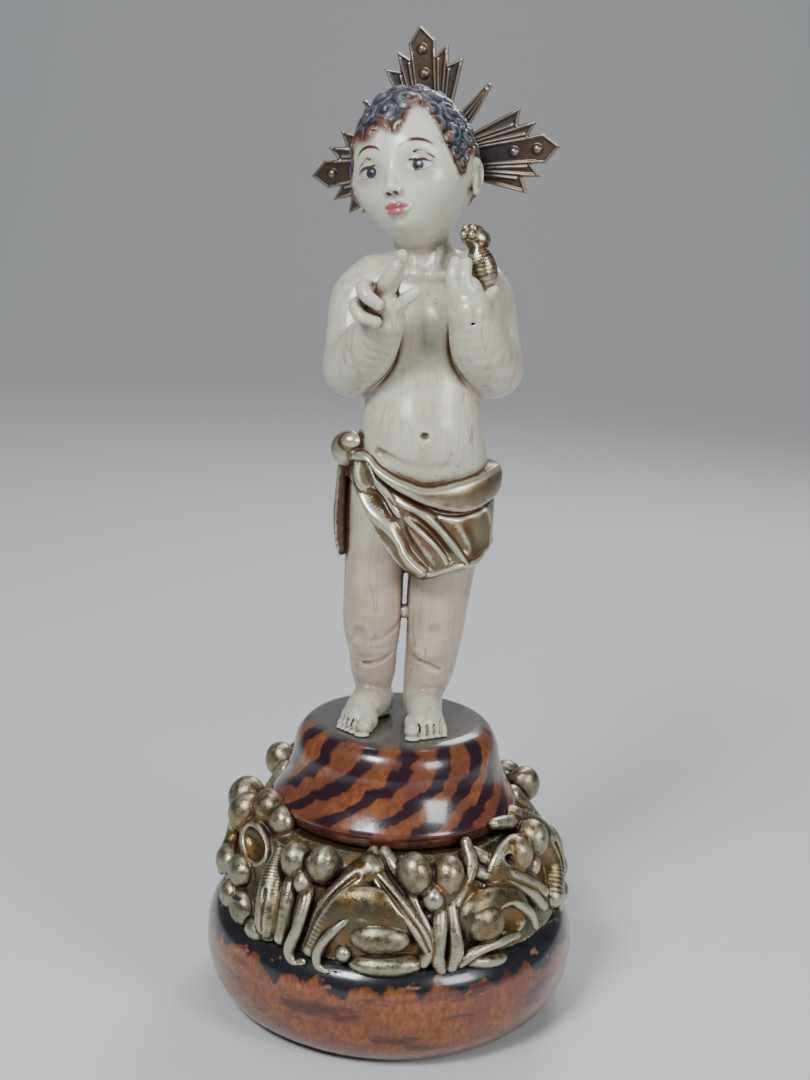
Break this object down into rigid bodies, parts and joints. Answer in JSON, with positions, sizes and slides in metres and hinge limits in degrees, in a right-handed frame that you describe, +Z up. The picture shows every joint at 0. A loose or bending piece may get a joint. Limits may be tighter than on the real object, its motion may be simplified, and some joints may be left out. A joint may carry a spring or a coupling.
{
  "type": "ivory child jesus statue",
  "caption": "Standing ivory child with a raised blessing hand, gilded loincloth and rayed metal halo, on a turned brown pedestal with a carved gilt collar.",
  "frame": {"origin": "centre of the pedestal's underside, on its turned axis", "axes": "+Z up along the pedestal's turned axis, -Y the figure's front, +X the figure's own left side"},
  "size_m": [0.122, 0.122, 0.316],
  "materials": {
    "ivory": "polished old ivory, brown patina in the hollows",
    "painted_wood": "glossy brown paint with dark streaks",
    "gilt_wood": "worn and tarnished gilding over brown ground",
    "gilding": "worn gilding",
    "halo_metal": "tarnished sheet metal with bright edges"
  },
  "bodies": {
    "root": {"pedestal_bun": "painted_wood", "gilded_collar": "gilt_wood", "pedestal_dome": "painted_wood", "child_figure": "ivory", "gilded_piece_in_hand": "gilding", "rayed_halo": "halo_metal"}
  },
  "joints": []
}
